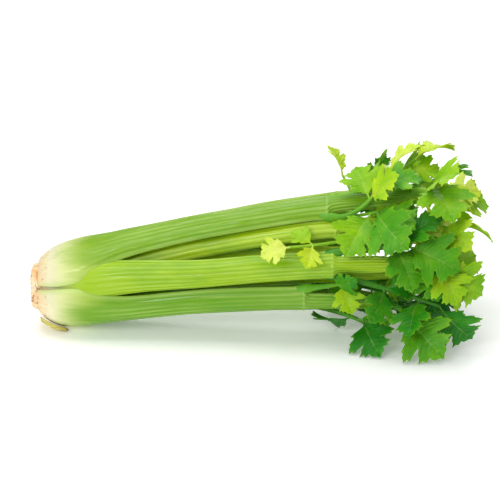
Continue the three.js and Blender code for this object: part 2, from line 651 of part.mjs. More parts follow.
const root = new THREE.Group();
root.name = "celery";
const bounds = new THREE.Box3();
for (const { name, solid, material } of pieces) {
  const above = solid.trimByPlane([0, 0, 1], 0).asOriginal().simplify(WELD);
  const body = above.decompose().sort((a, b) => b.volume() - a.volume())[0];
  const { vertProperties, triVerts } = body.getMesh();
  const geometry = new THREE.BufferGeometry();
  geometry.setAttribute("position", new THREE.BufferAttribute(vertProperties, 3));
  geometry.setIndex(new THREE.BufferAttribute(triVerts, 1));
  geometry.computeBoundingBox();
  bounds.union(geometry.boundingBox);
  const mesh = new THREE.Mesh(geometry, material);
  mesh.name = name;
  root.add(mesh);
}

// The part's origin is the bottom centre of its bounding box.
const middle = bounds.getCenter(new THREE.Vector3());
root.position.set(-middle.x, -middle.y, 0);
export default root;
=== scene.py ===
"""A head of celery lying on its side, cut at the root and at the leaves, for a plain studio picture.

Sizes are in millimetres along the head: x = 0 is the sawn root end, +X runs to the leaves, +Z is up and z = 0
is the floor. Bench.row turns them into metres in the row frame. Turns are in degrees round the bunch: 0 faces
-Y and 90 is up.
"""

import logging
import math
from dataclasses import dataclass, field, replace
from enum import Enum

import bpy
import numpy as np
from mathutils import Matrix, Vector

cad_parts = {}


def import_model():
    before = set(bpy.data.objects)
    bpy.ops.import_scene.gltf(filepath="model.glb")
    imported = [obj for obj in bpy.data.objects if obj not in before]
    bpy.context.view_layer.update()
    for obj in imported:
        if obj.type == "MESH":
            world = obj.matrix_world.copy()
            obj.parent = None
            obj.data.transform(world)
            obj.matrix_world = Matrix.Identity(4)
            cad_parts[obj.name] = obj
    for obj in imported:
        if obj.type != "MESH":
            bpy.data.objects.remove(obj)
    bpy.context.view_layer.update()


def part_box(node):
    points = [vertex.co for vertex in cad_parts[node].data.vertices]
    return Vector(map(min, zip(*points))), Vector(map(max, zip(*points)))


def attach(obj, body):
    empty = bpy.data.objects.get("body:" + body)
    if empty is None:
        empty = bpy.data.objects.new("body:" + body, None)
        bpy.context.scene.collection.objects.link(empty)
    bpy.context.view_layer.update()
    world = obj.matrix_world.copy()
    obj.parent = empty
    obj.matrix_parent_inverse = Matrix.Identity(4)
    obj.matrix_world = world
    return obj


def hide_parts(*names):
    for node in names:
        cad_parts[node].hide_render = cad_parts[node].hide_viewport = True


log = logging.getLogger("celery")

Knots = tuple[tuple[float, float], ...]
Array = np.ndarray
Frame = tuple[Array, Array, Array]

ALONG = np.array([1.0, 0.0, 0.0])
UP = np.array([0.0, 0.0, 1.0])
CREASE = math.radians(55)  # edges sharper than this stay sharp
AXIS_HEIGHT: Knots = ((0, 34.6), (22, 35.8), (40, 38.2), (82, 45.5), (141, 54), (226, 63), (340, 69))
DRIFT = (50.0, 160.0)  # a stalk's turn and girth change between these places
RISE_ENDS = (40.0, 90.0)  # a sheath that stands out at the bulb sinks back between these places
EDGE_SHARE = 0.36  # a stalk's edge thickness as a share of its back's
NECK_SHARE = 0.62  # width of the rib past the joint as a share of the stalk's
EDGE_POWER = 2.4  # how late that thinning comes towards the edge
JOINT_SWELL = 1.08
SWELL_BEFORE = 2  # the swelling is fullest this far before the joint
SWELL_REACH = 9
SHOULDER = 1.6  # length over which the stalk steps down at its joint
SPREADS_FROM = 60  # a stalk's reach grows from here
SPREADS_OVER = 200  # over this length
CLEAR = 0.35  # gap between a stalk and its branch in the source
LEAF_WAVES = 9  # radians of wave from a leaflet's base to its tip
HALVES_APART = 2  # radians between the waves of its two halves


def through(knots: Knots, x: Array | float) -> Array:
    """Reads a smooth curve that is level beyond both ends.

    Args:
        knots: Pairs of a place and the value there.
        x: The place or places to read.

    Returns:
        The value at each place.
    """
    xs, ys = np.array(knots, float).T
    last = len(xs) - 1
    place = np.clip(np.asarray(x, float), xs[0], xs[last])
    i = np.clip(np.searchsorted(xs, place, side="left") - 1, 0, last - 1)
    ahead = np.minimum(np.arange(last + 1) + 1, last)
    behind = np.maximum(np.arange(last + 1) - 1, 0)
    slope = (ys[ahead] - ys[behind]) / (xs[ahead] - xs[behind])
    span = xs[i + 1] - xs[i]
    t = (place - xs[i]) / span
    bend = t * (1 - t) * span * (slope[i] * (1 - t) - slope[i + 1] * t)
    return ys[i] + (ys[i + 1] - ys[i]) * t * t * (3 - 2 * t) + bend


def smooth(x: Array | float, low: float, high: float) -> Array:
    """A soft step from 0 at low to 1 at high."""
    t = np.clip((np.asarray(x, float) - low) / (high - low), 0, 1)
    return t * t * (3 - 2 * t)


def unit(v: Array) -> Array:
    """The vector at length 1."""
    return v / math.sqrt(float(v @ v))


class Draws:
    """Draws the same run of numbers from 0 to 1 for the same seed."""

    def __init__(self, seed: int) -> None:
        """Starts the run.

        Args:
            seed: Which run to draw.
        """
        self.state = seed & 0xFFFFFFFF

    def __call__(self) -> float:
        """The next number."""
        self.state = (self.state * 1664525 + 1013904223) & 0xFFFFFFFF
        return self.state / 4294967296


def ripple(places: Array, seed: int, waves: int = 6) -> Array:
    """Sums a few sine waves of drawn length and phase, about -1 to 1.

    Args:
        places: Places in turns of the longest wave, of any shape with the coordinates last.
        seed: Which waves to draw.
        waves: How many are summed.

    Returns:
        One value a place.
    """
    draw = Draws(seed)
    total = np.zeros(places.shape[:-1])
    for k in range(waves):
        direction = np.array([draw() - 0.5 for _ in range(places.shape[-1])]) * (2.4 + 1.7 * k)
        total += np.sin(2 * np.pi * (places @ direction) + 6.28 * draw()) / (1 + 0.5 * k)
    return total / 2.2


class Bench:
    """Turns sheets of points into Blender meshes in the row frame."""

    def __init__(self, shift: Array) -> None:
        """Sets the head's place in the row frame.

        Args:
            shift: What is taken off a place along the head to reach the row frame, in millimetres.
        """
        self.shift = shift

    def row(self, points: Array) -> Array:
        """Places along the head, kept above the floor, in metres in the row frame."""
        placed = (points - self.shift) / 1000
        placed[..., 2] = np.maximum(placed[..., 2], 0)
        return placed

    def sheet(self, name: str, points: Array, values: dict[str, Array]) -> bpy.types.Object:
        """Lays a grid of faces through rows of points.

        Args:
            name: The new object's name.
            points: Millimetres, shaped (rows, columns, 3).
            values: What the finish reads at each point, by name, shaped (rows, columns).

        Returns:
            The open sheet, selected and active.
        """
        rows, columns = points.shape[:2]
        bpy.ops.object.select_all(action="DESELECT")
        bpy.ops.mesh.primitive_grid_add(x_subdivisions=columns - 1, y_subdivisions=rows - 1, size=1)
        piece = bpy.context.active_object
        piece.name = name
        piece.data.name = name
        piece.data.uv_layers.remove(piece.data.uv_layers[0])
        piece.data.vertices.foreach_set("co", self.row(points).reshape(-1).astype(np.float32))
        for key, numbers in values.items():
            layer = piece.data.attributes.new(key, "FLOAT", "POINT")
            spread = np.broadcast_to(numbers, (rows, columns)).reshape(-1)
            layer.data.foreach_set("value", spread.astype(np.float32))
        piece.data.update()
        return piece

    def skin(self, name: str, rings: Array, values: dict[str, Array]) -> bpy.types.Object:
        """Lays a sheet over rings of points, sews it up along its length and closes both ends.

        Args:
            name: The new object's name.
            rings: Millimetres, shaped (rings, points round, 3), the last point of a ring not repeated.
            values: What the finish reads at each point, shaped as the rings are.

        Returns:
            The closed piece.
        """
        wrapped = np.concatenate([rings, rings[:, :1]], axis=1)
        around = {
            key: np.concatenate([v, v[:, :1]], axis=1)
            for key, v in ((k, np.broadcast_to(n, rings.shape[:2])) for k, n in values.items())
        }
        piece = self.sheet(name, wrapped, around)
        bpy.ops.object.mode_set(mode="EDIT")
        bpy.ops.mesh.select_all(action="SELECT")
        bpy.ops.mesh.remove_doubles(threshold=1e-6)
        bpy.ops.mesh.select_all(action="SELECT")
        bpy.ops.mesh.fill_holes(sides=0)
        bpy.ops.mesh.select_all(action="SELECT")
        bpy.ops.mesh.normals_make_consistent(inside=False)
        bpy.ops.object.mode_set(mode="OBJECT")
        return piece

    def thicken(self, piece: bpy.types.Object, thickness: float) -> None:
        """Gives a sheet two faces and a rim.

        Args:
            piece: The sheet.
            thickness: In millimetres.
        """
        bpy.context.view_layer.objects.active = piece
        solid = piece.modifiers.new("blade", "SOLIDIFY")
        solid.thickness = thickness / 1000
        solid.offset = 0
        bpy.ops.object.modifier_apply(modifier=solid.name)
        places = np.zeros(3 * len(piece.data.vertices), np.float32)
        piece.data.vertices.foreach_get("co", places)
        places[2::3] = np.maximum(places[2::3], 0)
        piece.data.vertices.foreach_set("co", places)

    def join(self, pieces: list[bpy.types.Object]) -> bpy.types.Object:
        """Makes one object of several that grow as one.

        Args:
            pieces: The objects, the first of which lends its name.

        Returns:
            The joined object.
        """
        bpy.ops.object.select_all(action="DESELECT")
        for piece in pieces:
            piece.select_set(True)
        bpy.context.view_layer.objects.active = pieces[0]
        if len(pieces) > 1:
            bpy.ops.object.join()
        return bpy.context.active_object

    def dress(self, piece: bpy.types.Object, material: bpy.types.Material, node: str) -> None:
        """Shades a piece, gives it its finish and lets it stand for its node.

        Args:
            piece: The finished piece.
            material: Its finish.
            node: The CAD node that it replaces.
        """
        bpy.ops.object.select_all(action="DESELECT")
        piece.select_set(True)
        bpy.context.view_layer.objects.active = piece
        bpy.ops.object.shade_smooth_by_angle(angle=CREASE)
        piece.data.materials.clear()
        piece.data.materials.append(material)
        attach(piece, "root")
        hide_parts(node)
        log.info("%s: %d faces for %s", piece.name, len(piece.data.polygons), node)


@dataclass(frozen=True)
class Whorl:
    """Stalks of one age: their sizes at places along the head."""

    apex: Knots
    half: Knots
    thick: Knots
    bow: Knots
    tilt: Knots
    ribs: int
    start: float
    hollows: int = 16


OUTER = Whorl(
    apex=((0, 17.5), (6, 23.5), (14, 30.5), (26, 36), (42, 38.6), (62, 41), (110, 44), (225, 52), (335, 60)),
    half=(
        (0, 13), (7, 17), (14, 21.5), (26, 26), (42, 27), (56, 22.5),
        (80, 16.8), (110, 14), (230, 12.8), (340, 11),
    ),
    thick=((0, 4), (8, 6.5), (26, 8.2), (60, 8.4), (130, 8), (240, 7), (340, 5.4)),
    bow=((0, 50), (26, 52), (45, 50), (80, 47), (110, 53), (340, 58)),
    tilt=((0, 0), (130, 2)),
    ribs=9,
    start=7,
)
TUCKED = replace(
    OUTER,
    apex=((0, 14), (6, 18), (14, 23), (26, 29.5), (42, 35.2), (62, 39.2), (110, 42), (225, 50), (335, 58)),
    half=(
        (0, 9), (14, 13), (26, 15.5), (42, 17), (62, 15.5),
        (90, 13.6), (130, 12.8), (230, 12.4), (340, 11),
    ),
    bow=((0, 42), (40, 43), (90, 53), (340, 58)),
    start=9,
)
INNER = Whorl(
    apex=((10, 12), (20, 17), (32, 20.5), (48, 23.6), (80, 27), (140, 31), (225, 38), (335, 43)),
    half=((10, 9), (32, 11.5), (60, 11.2), (100, 9.4), (225, 8.6), (340, 7)),
    thick=((10, 3.5), (32, 5), (80, 5.8), (225, 5.6), (340, 4.4)),
    bow=((10, 44), (60, 50), (340, 56)),
    tilt=((10, 15), (60, 14), (120, 6)),
    ribs=5,
    start=14,
)
HEART = Whorl(
    apex=((26, 8.5), (45, 11.5), (80, 13.5), (160, 16.5), (225, 19), (330, 24)),
    half=((26, 4.5), (60, 6.2), (225, 5.4), (330, 4.2)),
    thick=((26, 2.8), (60, 4.2), (225, 4), (330, 3)),
    bow=((26, 50), (330, 54)),
    tilt=((26, 8), (330, 4)),
    ribs=3,
    start=30,
    hollows=8,
)


@dataclass(frozen=True)
class Stalk:
    """A stalk: a ribbed crescent that steps down at its joint to the rib of its leafy end."""

    name: str
    whorl: Whorl
    turn: tuple[float, float]
    joint: float
    end: float
    reach: float
    tone: float
    girth: float = 1
    rise: float = 0
    rib_height: float = 0.42
    rib_change: float = 0.35  # how much the ribs' height varies along them
    rib_wave: float = 300
    dent: float = 0.25
    dent_wave: float = 140
    fold_height: float = 0.3  # of the raised line across its back at the joint
    fold_before: float = 1.2
    fold_width: float = 0.9
    rib_full: Knots = ((8, 0), (45, 0.5), (90, 1))
    flat_edge: float = 0.93  # where the rounding of an edge starts, as a share of the half width
    taper: float = 34  # length over which the rib thins into the stem of its last leaf

    def point(
        self, x: Array, u: Array, side: Array | float, rib: Array | float = 0.0, soft: bool = False
    ) -> Array:
        """A point of the stalk.

        Args:
            x: Places along the head.
            u: From -1 to 1 across the stalk.
            side: 1 on the ribbed back, -1 in the channel, and between them through the stalk's thickness.
            rib: How far the point stands proud.
            soft: True for the rounded shoulders and the thinning end of the finished stalk.

        Returns:
            The points, with the coordinates last.
        """
        x, u = np.broadcast_arrays(np.asarray(x, float), np.asarray(u, float))
        past = np.clip((x - self.joint) / SHOULDER, 0, 1)
        if soft:
            past = smooth(x, self.joint - 1.2, self.joint + 3)
        swell = 1 + (JOINT_SWELL - 1) * np.maximum(0, 1 - np.abs(x - self.joint + SWELL_BEFORE) / SWELL_REACH)
        outwards = 1 + (self.reach - 1) * np.clip((x - SPREADS_FROM) / SPREADS_OVER, 0, 1)
        thin = 1 - 0.5 * smooth(x, self.end - self.taper, self.end) if soft else 1
        drift = smooth(x, *DRIFT)
        apex = through(self.whorl.apex, x) * outwards + self.rise * (1 - smooth(x, *RISE_ENDS))
        half = through(self.whorl.half, x) * (1 + (self.girth - 1) * drift) * swell
        half = half * (1 - (1 - NECK_SHARE) * past) * thin
        thick = through(self.whorl.thick, x) * swell * (0.5 + 0.5 * thin)
        bow = np.radians(through(self.whorl.bow, x))
        tilt = np.radians(through(self.whorl.tilt, x))
        turn = np.radians(self.turn[0] + (self.turn[1] - self.turn[0]) * drift)
        radius = half / np.sin(bow)
        thickness = thick * (1 - (1 - EDGE_SHARE) * np.abs(u) ** EDGE_POWER)
        r = radius + side * (thickness / 2) + rib
        out = r * np.cos(bow * u) - radius
        across = r * np.sin(bow * u)
        radial = apex - thick / 2 + out * np.cos(tilt) + across * np.sin(tilt)
        sideways = across * np.cos(tilt) - out * np.sin(tilt)
        y = -radial * np.cos(turn) + sideways * np.sin(turn)
        z = through(AXIS_HEIGHT, x) + radial * np.sin(turn) + sideways * np.cos(turn)
        return np.stack([x, y, z], axis=-1)

    def outline(self) -> tuple[Array, Array]:
        """The finished cross-section.

        Returns:
            u and side at each point round it, anticlockwise seen from the leaves.
        """
        backs = 10 * self.whorl.ribs
        back = np.linspace(self.flat_edge, -self.flat_edge, backs + 1)
        hollow = np.linspace(-self.flat_edge, self.flat_edge, self.whorl.hollows + 1)
        round_edge = np.radians([30, 60, 90, 120, 150])
        rounding = self.flat_edge + (1 - self.flat_edge) * np.sin(round_edge)
        u = np.concatenate([back, -rounding, hollow, rounding])
        sides = [np.ones_like(back), np.cos(round_edge), -np.ones_like(hollow), -np.cos(round_edge)]
        return u, np.concatenate(sides)

    def stations(self) -> Array:
        """The places along the head where the stalk has a ring."""
        base = np.arange(self.whorl.start, 60, 2.5)
        shaft = np.arange(60, self.end, 4.5)
        shoulder = np.arange(self.joint - 4, self.joint + 4, 0.5)
        return np.unique(np.concatenate([base, shaft, shoulder, [self.end]]).round(3))

    def build(self, bench: Bench, finish: "StalkFinish", slot: str) -> None:
        """Models and dresses the stalk.

        Args:
            bench: Where the mesh is made.
            finish: The look of a stalk.
            slot: Not used.
        """
        u, side = self.outline()
        x = self.stations()[:, None]
        crest = (0.5 - 0.5 * np.cos(self.whorl.ribs * np.pi * (1 - u))) ** 0.7
        crest = np.where(side == 1, crest, 0.5)
        waves = np.stack(np.broadcast_arrays(x / self.rib_wave, u), axis=-1)
        uneven = 1 + self.rib_change * ripple(waves, round(self.joint))
        rib = self.rib_height * through(self.rib_full, x) * (crest - 0.5) * uneven
        dents = np.stack(np.broadcast_arrays(x / self.dent_wave, u / 2), axis=-1)
        dented = self.dent * ripple(dents, round(self.end) + 7)
        fold = np.exp(-(((x - self.joint + self.fold_before) / self.fold_width) ** 2))
        proud = self.fold_height * fold * (side > 0)
        rings = self.point(x, u, side, rib + dented * smooth(x, 20, 60) + proud, soft=True)
        shape = rings.shape[:2]
        values = {
            "crest": np.broadcast_to(crest, shape),
            "across": np.broadcast_to(np.abs(u), shape),
            "channel": np.broadcast_to((1 - side) / 2, shape),
            "fold": np.broadcast_to(fold, shape),
            "tone": np.full(shape, self.tone),
        }
        piece = bench.skin(f"fine_{self.name}", rings, values)
        bench.dress(piece, finish.material(), self.name)


STALKS = (
    Stalk("outer_stalk_1", OUTER, (-38, -34), 232, 300, 1, 0.36, girth=1.12),
    Stalk("outer_stalk_2", TUCKED, (20, 9), 255, 321, 0.98, 0.72, girth=0.86),
    Stalk("outer_stalk_3", OUTER, (72, 76), 251, 330, 1.02, 0.42, rise=0.5),
    Stalk("outer_stalk_4", TUCKED, (133, 134), 262, 312, 1.06, 0.5),
    Stalk("outer_stalk_5", OUTER, (190, 195), 240, 318, 0.97, 0.45),
    Stalk("outer_stalk_6", OUTER, (256, 258), 246, 308, 0.92, 0.3, girth=0.96, rise=1),
    Stalk("inner_stalk_1", INNER, (46, 54), 258, 316, 1.13, 0.85),
    Stalk("inner_stalk_2", INNER, (-28, -14), 262, 318, 0.9, 0.7),
    Stalk("inner_stalk_3", INNER, (115, 112), 266, 322, 1, 0.8),
    Stalk("inner_stalk_4", INNER, (187, 176), 254, 312, 1, 0.75),
    Stalk("inner_stalk_5", INNER, (258, 235), 258, 316, 0.93, 0.7),
    Stalk("heart_stalk_1", HEART, (28, 28), 250, 300, 1, 0.95),
    Stalk("heart_stalk_2", HEART, (150, 150), 262, 312, 1, 0.95),
    Stalk("heart_stalk_3", HEART, (270, 270), 256, 306, 1, 0.95),
)
STALK_OF = {stalk.name: stalk for stalk in STALKS}


@dataclass(frozen=True)
class Crown:
    """The plant's short solid stem: sawn flat at its end and scarred where old stalks came off."""

    radius: Knots = ((0, 18.6), (4, 20.2), (9, 20.6), (14, 18.5), (20, 15.6), (34, 11), (52, 5))
    worn: float = 0.8
    steps: tuple[float, ...] = (0, 1.2, 4, 10, 20, 34, 52)  # the source's rings
    source_sides: int = 24
    sides: int = 120
    face_shares: tuple[float, ...] = (0.03, 0.2, 0.38, 0.55, 0.7, 0.83, 0.93, 1)
    body_steps: tuple[float, ...] = (0.7, 1.5, 2.5, 4, 5.5, 7, 8.5, 10, 12, 15, 20, 27, 34, 43, 52)

    def ring(self, x: float, sides: int, worn: float = 0.0, inset: float = 1.0) -> Array:
        """Points round the crown.

        Args:
            x: Place along the head.
            sides: How many points.
            worn: How much its radius is worn away.
            inset: Share of the radius that is left, for rings on the sawn face.

        Returns:
            The points, shaped (sides, 3).
        """
        a = 2 * np.pi * np.arange(sides) / sides
        lumpy = 1 + 0.035 * np.sin(3 * a + 0.6) + 0.02 * np.sin(7 * a + x / 6)
        radius = (through(self.radius, x) - worn) * lumpy * inset
        height = through(AXIS_HEIGHT, x)
        return np.stack([np.full(sides, float(x)), radius * np.cos(a), height + radius * np.sin(a)], axis=-1)

    def front(self) -> float:
        """The crown's least y at the source's own number of sides."""
        rings = [self.ring(x, self.source_sides, 0 if x else self.worn) for x in self.steps]
        return float(np.array(rings)[..., 1].min())

    def build(self, bench: Bench, finish: "CrownFinish") -> None:
        """Models and dresses the crown.

        Args:
            bench: Where the mesh is made.
            finish: Its look.
        """
        face = [self.ring(0, self.sides, self.worn, share) for share in self.face_shares]
        body = [self.ring(x, self.sides) for x in self.body_steps]
        rings = np.array(face + body)
        rough = ripple(rings / 14, 3, 8)
        rings[: len(face), :, 0] += 0.35 + 0.3 * rough[: len(face)]
        scars = 0.55 * ripple(rings / 9, 5, 8) * smooth(rings[..., 0], 0.3, 2)
        centre = through(AXIS_HEIGHT, rings[..., 0])
        rings[..., 1] *= 1 - np.abs(scars) / 18
        rings[..., 2] = centre + (rings[..., 2] - centre) * (1 - np.abs(scars) / 18)
        piece = bench.skin("fine_crown", rings, {})
        bench.dress(piece, finish.material(), "crown")


@dataclass(frozen=True)
class Stub:
    """What is left of a stalk torn off low on the bulb: a dry ragged flap."""

    whorl: Whorl = Whorl(
        apex=((4, 27.5), (12, 34), (22, 39.4), (32, 41.6)),
        half=((4, 7), (12, 10), (24, 9), (32, 6.5)),
        thick=((4, 2.8), (20, 2.8), (32, 2.2)),
        bow=((4, 24), (32, 24)),
        tilt=((4, 0), (32, 0)),
        ribs=3,
        start=8,
    )
    turn: float = 298
    end: float = 32
    ragged: float = 5

    def build(self, bench: Bench, finish: "StubFinish") -> None:
        """Models and dresses the stub.

        Args:
            bench: Where the mesh is made.
            finish: Its look.
        """
        stalk = Stalk("trimmed_stub", self.whorl, (self.turn, self.turn), 400, 500, 1, 0)
        u, side = stalk.outline()
        share = np.linspace(0, 1, 19)[:, None]
        torn = self.ragged * (0.5 + 0.5 * ripple(u[:, None] * np.array([1.3, 0.4]), 11, 7))
        x = self.whorl.start + (self.end - torn - self.whorl.start) * share
        wrinkle = 0.35 * ripple(np.stack(np.broadcast_arrays(x / 30, u), axis=-1), 17)
        rings = stalk.point(x, u, side, wrinkle)
        piece = bench.skin("fine_trimmed_stub", rings, {"torn": np.broadcast_to(share, rings.shape[:2])})
        bench.dress(piece, finish.material(), "trimmed_stub")


class Side(Enum):
    """Where on its stalk a leafy branch starts."""

    LOW = -1
    END = 0
    HIGH = 1


@dataclass
class Leaflet:
    """A cut and toothed leaflet that arches, folds and waves."""

    base: Array
    ahead: Array
    beside: Array
    face: Array
    size: float
    arch: float
    phase: float
    tone: float = 0.5
    fold: float = 0.18
    wave: float = 0.09
    thickness: float = 0.42
    pucker: float = 0.016
    # One half of the outline: how far along and out each point lies, and where on the midrib its row of
    # faces starts.
    edge: tuple[tuple[float, float, float], ...] = (
        (0, 0.014, 0), (0.09, 0.014, 0.08), (0.16, 0.032, 0.14), (0.22, 0.11, 0.165),
        (0.27, 0.2, 0.185), (0.275, 0.255, 0.2), (0.3, 0.26, 0.215), (0.345, 0.345, 0.235),
        (0.375, 0.29, 0.26), (0.415, 0.31, 0.28), (0.44, 0.275, 0.3), (0.47, 0.36, 0.32),
        (0.5, 0.43, 0.335), (0.545, 0.43, 0.35), (0.575, 0.475, 0.365), (0.65, 0.515, 0.385),
        (0.645, 0.44, 0.41), (0.69, 0.425, 0.43), (0.655, 0.33, 0.46), (0.615, 0.2, 0.5),
        (0.66, 0.205, 0.53), (0.7, 0.27, 0.555), (0.745, 0.285, 0.58), (0.805, 0.36, 0.61),
        (0.81, 0.27, 0.65), (0.865, 0.255, 0.69), (0.845, 0.155, 0.74), (0.895, 0.15, 0.79),
        (0.93, 0.125, 0.83), (0.945, 0.06, 0.9), (1, 0.004, 1),
    )
    veins: tuple[int, ...] = (5, 7, 9, 13, 15, 17, 23, 25, 28)
    columns: tuple[float, ...] = (0, 0.07, 0.22, 0.42, 0.62, 0.82, 1)

    def point(self, along: Array, out: Array, extra: Array | float = 0.0) -> Array:
        """Where points of the flat leaflet come to lie.

        Args:
            along: Shares of its length from base to tip.
            out: Shares of its length to either side of the midrib.
            extra: Height above the leaflet's middle layer, as shares of its length.

        Returns:
            The points, with the coordinates last.
        """
        a = self.arch * along
        phase = self.phase + np.where(out > 0, HALVES_APART, 0)
        waved = self.wave * np.abs(out) * np.sin(LEAF_WAVES * along + phase)
        lift = self.fold * np.abs(out) + waved + extra
        forward = self.size * (np.sin(a) / self.arch + lift * np.sin(a))
        upward = self.size * ((np.cos(a) - 1) / self.arch + lift * np.cos(a))
        sideways = self.size * out
        return (
            self.base
            + np.multiply.outer(forward, self.ahead)
            + np.multiply.outer(sideways, self.beside)
            + np.multiply.outer(upward, self.face)
        )

    def build(self, bench: Bench, name: str) -> list[bpy.types.Object]:
        """Models the blade and its midrib.

        Args:
            bench: Where the meshes are made.
            name: Name of the new objects.

        Returns:
            The blade and the midrib.
        """
        knots = np.array(self.edge)
        turns = np.arange(2 * len(knots) - 1) / 2
        places = np.arange(len(knots))
        edge_along, edge_out, rib = (np.interp(turns, places, knots[:, k])[:, None] for k in range(3))
        half = np.array(self.columns)
        s = np.concatenate([-half[:0:-1], half])
        share = np.abs(s)
        along = rib + (edge_along - rib) * share**1.25
        out = edge_out * s
        vein = np.zeros((len(turns), len(s)))
        for k in self.veins:
            near = np.exp(-(((turns[:, None] - k) / 0.55) ** 2))
            vein = np.maximum(vein, near * (1 - 0.55 * share))
        midrib = np.exp(-((share / 0.06) ** 2)) * np.ones_like(vein)
        blade = smooth(rib, 0.12, 0.2) * np.ones_like(vein)
        bulge = self.pucker * np.sin(np.pi * np.clip(share, 0, 1)) * (1 - 1.6 * vein) * blade
        curl = -0.02 * smooth(share, 0.8, 1) * vein * blade
        points = self.point(along, out, bulge + curl)
        values = {
            "vein": np.maximum(vein * 0.8, midrib),
            "rim": np.broadcast_to(share * blade, vein.shape),
            "tone": np.full(vein.shape, self.tone),
        }
        leaf = bench.sheet(name, points, values)
        bench.thicken(leaf, self.thickness)
        spine = np.linspace(-0.02, 0.82, 15)
        line = self.point(spine, np.zeros_like(spine), -0.004)
        radius = np.interp(spine, (-0.02, 0.16, 0.82), (1.0, 0.62, 0.15))
        cord = tube(bench, f"{name}_rib", line, radius, {"vein": 0.85, "rim": 0.0, "tone": self.tone}, 8)
        return [leaf, cord]


def tube(
    bench: Bench, name: str, line: Array, radius: Array, values: dict[str, float], sides: int = 14
) -> bpy.types.Object:
    """A round stem along a line.

    Args:
        bench: Where the mesh is made.
        name: Name of the new object.
        line: Points along it in millimetres.
        radius: The radius at each point.
        values: What the finish reads, by name.
        sides: Faces round it.

    Returns:
        The closed stem.
    """
    heading = np.gradient(line, axis=0)
    heading /= np.linalg.norm(heading, axis=1, keepdims=True)
    facing = np.array([0.3, 0.5, 1.0])
    face = facing - heading * (heading @ facing)[:, None]
    face /= np.linalg.norm(face, axis=1, keepdims=True)
    beside = np.cross(face, heading)
    a = 2 * np.pi * np.arange(sides) / sides
    ribbed = 1 + 0.05 * np.cos(7 * a)
    rings = (
        line[:, None]
        + radius[:, None, None] * ribbed[None, :, None] * np.cos(a)[None, :, None] * beside[:, None]
        + radius[:, None, None] * ribbed[None, :, None] * np.sin(a)[None, :, None] * face[:, None]
    )
    return bench.skin(name, rings, {key: np.full(rings.shape[:2], float(v)) for key, v in values.items()})


@dataclass
class Branch:
    """A leafy branch: a stem from a stalk's shoulder or end, and the leaflets on it."""

    stalk: str
    side: Side
    to: tuple[float, float, float]
    hang: float
    leaflets: int
    size: float
    tone: float
    radius: float = 0.0
    line: Array = field(default_factory=lambda: np.zeros((0, 3)))
    leaves: list[Leaflet] = field(default_factory=list)
    # Where leaflets sit: place along the stem, side, and length as a share of the largest.
    places: tuple[tuple[float, int, float], ...] = (
        (1, 0, 1), (0.82, 1, 0.86), (0.82, -1, 0.86), (0.52, 1, 0.72), (0.52, -1, 0.72),
    )
    shoulder_place: float = 0.86
    end_gap: float = 1.3
    leave_slope: float = 0.22
    bend_share: float = 0.45
    stem_share: float = 0.22
    stem_taper: float = 0.55
    end_sunk: float = 12  # how far the fine stem starts inside its stalk
    side_sunk: float = 9

    @property
    def node(self) -> str:
        """The CAD node of this branch."""
        return f"{self.stalk}_leaves_{self.side.name.lower()}"

    def stem(self, to: tuple[float, float, float], steps: int, sunk: float = 0.0) -> Array:
        """The line of the branch's stem.

        Args:
            to: Where it ends, as place along, turn round and distance from the bunch's axis.
            steps: How many parts the line has.
            sunk: How far back into the stalk it starts.

        Returns:
            The points of the line.
        """
        stalk = STALK_OF[self.stalk]
        side = self.side.value
        start = stalk.point(stalk.joint if side else stalk.end, side * self.shoulder_place, 0)
        start = start + ALONG * (SHOULDER + CLEAR if side else self.end_gap)
        x, turn, out = to
        a = math.radians(turn)
        finish = np.array([x, -out * math.cos(a), float(through(AXIS_HEIGHT, x)) + out * math.sin(a)])
        beside = unit(stalk.point(stalk.joint, 1, 0) - stalk.point(stalk.joint, -1, 0))
        leave = ALONG + side * self.leave_slope * beside
        bend = start + leave * self.bend_share * math.sqrt(float((start - finish) @ (start - finish)))
        t = (np.arange(steps + 1) / steps)[:, None]
        line = start * (1 - t) ** 2 + bend * 2 * t * (1 - t) + finish * t**2
        if sunk:
            back = np.array([1.0, 0.66, 0.33])[:, None]
            inside = start - ALONG * sunk * back - side * beside * 0.16 * sunk * back
            line = np.concatenate([inside, line])
        return line

    def build(self, bench: Bench, finish: "LeafFinish") -> None:
        """Models and dresses the branch.

        Args:
            bench: Where the meshes are made.
            finish: Its look.
        """
        name = f"fine_{self.node}"
        sunk = self.end_sunk if self.side is Side.END else self.side_sunk
        line = self.stem(self.to, 20, sunk)
        t = np.concatenate([np.zeros(3), np.arange(21) / 20])
        flare = 1 + np.concatenate([[0.15, 0.3, 0.4], 0.42 * (1 - smooth(t[3:], 0, 0.22))])
        radius = self.radius * (1 - (1 - self.stem_taper) * t) * flare
        parts = [tube(bench, name, line, radius, {"vein": 0.6, "rim": 0.0, "tone": self.tone * 0.6 + 0.1})]
        for number, leaf in enumerate(self.leaves, 1):
            parts += leaf.build(bench, f"{name}_{number}")
        bench.dress(bench.join(parts), finish.material(), self.node)


